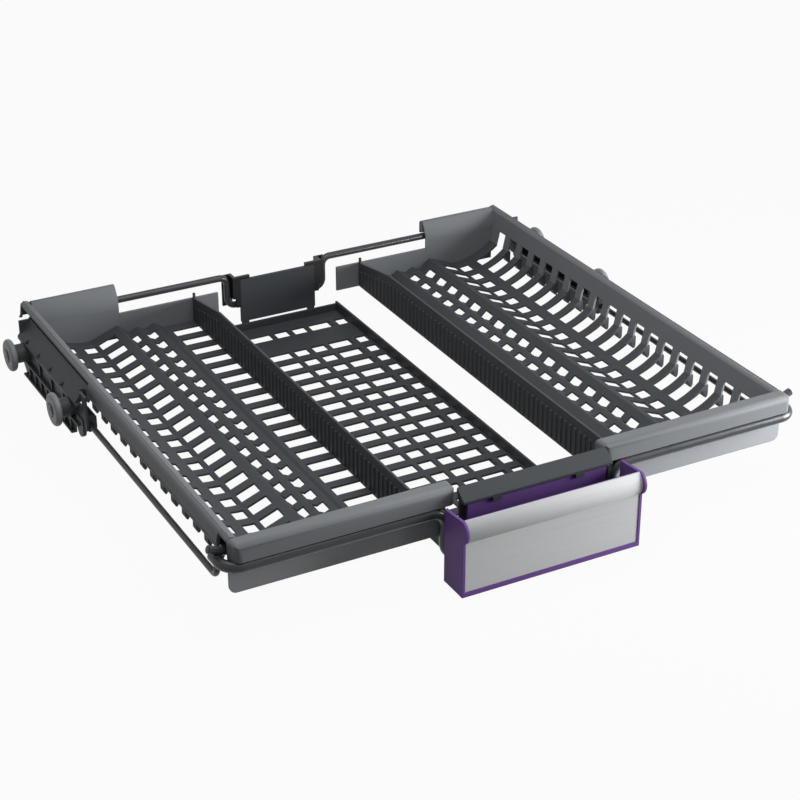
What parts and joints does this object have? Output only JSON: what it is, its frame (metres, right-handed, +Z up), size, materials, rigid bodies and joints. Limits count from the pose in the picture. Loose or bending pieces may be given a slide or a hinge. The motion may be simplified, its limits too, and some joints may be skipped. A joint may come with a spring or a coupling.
{
  "type": "dishwasher cutlery drawer",
  "caption": "Pull-out cutlery drawer of a dishwasher: a wire frame on rollers with a low middle bay, lift-out slotted side trays and a hollow front handle.",
  "frame": {"origin": "middle of the drawer's plan, on the plane that it stands on", "axes": "+X to the right seen from the handle, +Y to the rear, +Z up"},
  "size_m": [0.5526, 0.5143, 0.076],
  "materials": {
    "tray_plastic": "satin grained",
    "bed_plastic": "satin grained",
    "apron_plastic": "smooth satin",
    "bay_plastic": "satin grained",
    "carriage_plastic": "satin",
    "clip_plastic": "satin",
    "wheel_plastic": "satin",
    "frame_wire": "plastic coated",
    "handle_plastic": "satin",
    "facing_steel": "brushed"
  },
  "bodies": {
    "frame": {"bay_bed": "bay_plastic", "bay_front_plate": "bay_plastic", "bay_rear_lip": "bay_plastic", "bay_rear_plate": "bay_plastic", "front_tube": "frame_wire", "handle_body": "handle_plastic", "handle_facing": "facing_steel", "left_bay_rear_clip": "clip_plastic", "left_bay_wall": "bay_plastic", "left_carriage": "carriage_plastic", "left_front_axle": "clip_plastic", "left_front_wire_clip": "clip_plastic", "left_handle_hook": "bay_plastic", "left_rear_axle": "clip_plastic", "left_rear_wire_clip": "clip_plastic", "left_side_rod": "frame_wire", "left_side_wire": "frame_wire", "rear_wire": "frame_wire", "right_bay_rear_clip": "clip_plastic", "right_bay_wall": "bay_plastic", "right_carriage": "carriage_plastic", "right_front_axle": "clip_plastic", "right_front_wire_clip": "clip_plastic", "right_handle_hook": "bay_plastic", "right_rear_axle": "clip_plastic", "right_rear_wire_clip": "clip_plastic", "right_side_rod": "frame_wire", "right_side_wire": "frame_wire"},
    "left_tray": {"left_front_apron": "apron_plastic", "left_front_ledge": "tray_plastic", "left_front_wall": "tray_plastic", "left_inner_wall": "bed_plastic", "left_low_rear_wall": "tray_plastic", "left_outer_rim": "tray_plastic", "left_rear_hook": "tray_plastic", "left_tray_bed": "bed_plastic"},
    "right_tray": {"right_front_apron": "apron_plastic", "right_front_ledge": "tray_plastic", "right_front_wall": "tray_plastic", "right_inner_wall": "bed_plastic", "right_low_rear_wall": "tray_plastic", "right_outer_rim": "tray_plastic", "right_rear_hook": "tray_plastic", "right_tray_bed": "bed_plastic"},
    "left_front_roller": {"left_front_wheel": "wheel_plastic"},
    "left_rear_roller": {"left_rear_wheel": "wheel_plastic"},
    "right_front_roller": {"right_front_wheel": "wheel_plastic"},
    "right_rear_roller": {"right_rear_wheel": "wheel_plastic"}
  },
  "joints": [
    {"name": "left_tray_lift", "type": "slide", "parent": "frame", "child": "left_tray", "axis": [0, 0, 1], "range_m": [0, 0.12]},
    {"name": "right_tray_lift", "type": "slide", "parent": "frame", "child": "right_tray", "axis": [0, 0, 1], "range_m": [0, 0.12]},
    {"name": "left_rear_roller_spin", "type": "hinge", "parent": "frame", "child": "left_rear_roller", "pos_m": [-0.2733, 0.21768, 0.0449], "axis": [1, 0, 0], "continuous": true},
    {"name": "left_front_roller_spin", "type": "hinge", "parent": "frame", "child": "left_front_roller", "pos_m": [-0.2733, 0.10118, 0.0449], "axis": [1, 0, 0], "continuous": true},
    {"name": "right_rear_roller_spin", "type": "hinge", "parent": "frame", "child": "right_rear_roller", "pos_m": [0.2733, 0.21768, 0.0449], "axis": [1, 0, 0], "continuous": true},
    {"name": "right_front_roller_spin", "type": "hinge", "parent": "frame", "child": "right_front_roller", "pos_m": [0.2733, 0.10118, 0.0449], "axis": [1, 0, 0], "continuous": true}
  ]
}
